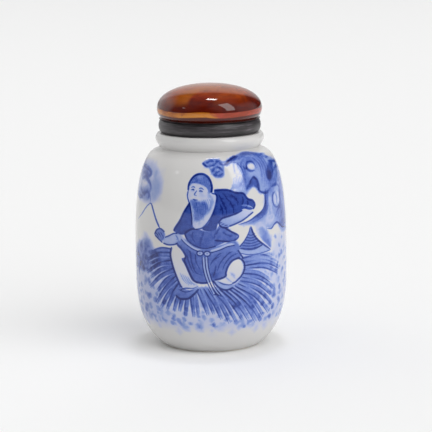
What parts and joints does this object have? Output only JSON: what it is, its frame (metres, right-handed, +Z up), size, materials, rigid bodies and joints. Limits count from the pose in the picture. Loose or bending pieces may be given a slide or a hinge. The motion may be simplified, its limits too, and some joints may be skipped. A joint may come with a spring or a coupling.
{
  "type": "snuff bottle",
  "caption": "Small round porcelain bottle with a flanged lip, painted in blue under a clear glaze, closed by a domed stone stopper on a dark turned collar.",
  "frame": {"origin": "centre of the foot, on the surface that the bottle stands on", "axes": "+Z up along the bottle's axis of symmetry, -Y towards a viewer of the painted front, +X to that viewer's right"},
  "size_m": [0.0418, 0.0418, 0.072],
  "materials": {
    "porcelain": "white porcelain under a clear glossy glaze, painted in cobalt blue",
    "collar": "turned black hardwood, satin, with fine turning streaks",
    "cabochon": "polished translucent red-brown agate with an amber band"
  },
  "bodies": {
    "root": {"bottle": "porcelain", "stopper_collar": "collar", "stopper_cabochon": "cabochon"}
  },
  "joints": []
}
